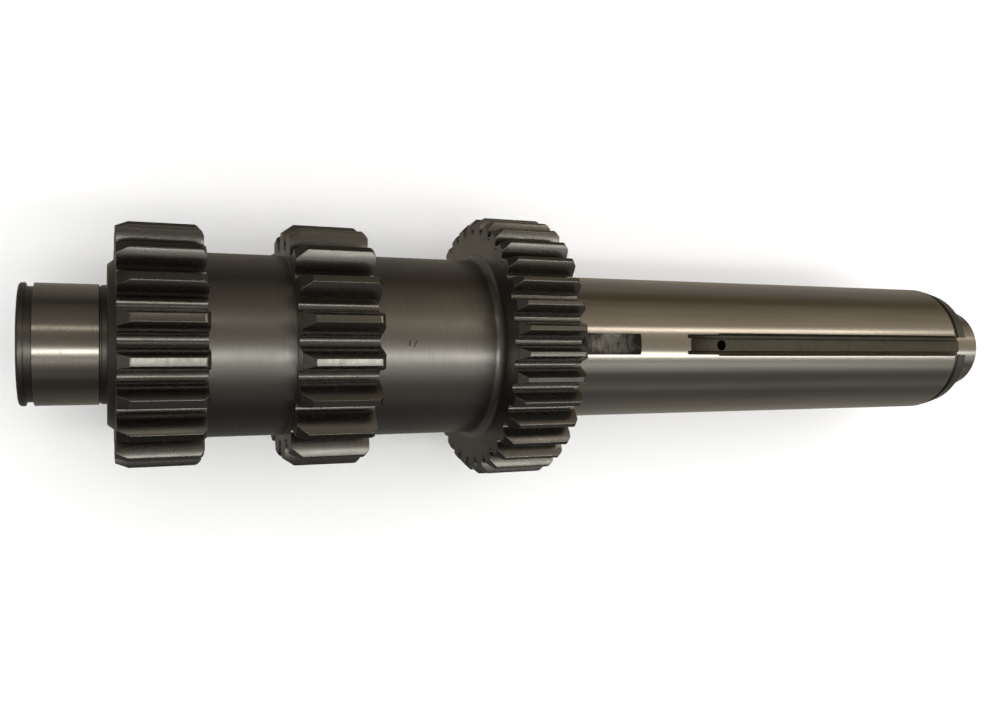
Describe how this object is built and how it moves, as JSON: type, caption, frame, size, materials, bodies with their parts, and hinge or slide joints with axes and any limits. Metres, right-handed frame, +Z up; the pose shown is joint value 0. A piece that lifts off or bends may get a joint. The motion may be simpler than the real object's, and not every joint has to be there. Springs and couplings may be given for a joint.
{
  "type": "transmission countershaft",
  "caption": "One-piece steel countershaft with three spur gears cut on it, a long keyed gear seat and a bearing journal at each end.",
  "frame": {"origin": "on the shaft's axis, in the middle of the rear bearing journal", "axes": "+X along the axis towards the front journal, +Z up through the keyways, +Y completes a right-handed frame"},
  "size_m": [0.5095, 0.1232, 0.123],
  "materials": {
    "ground_steel": "satin hobbed and turned steel, ground bright on the journals and the gear seat"
  },
  "bodies": {
    "root": {"countershaft": "ground_steel"}
  },
  "joints": []
}
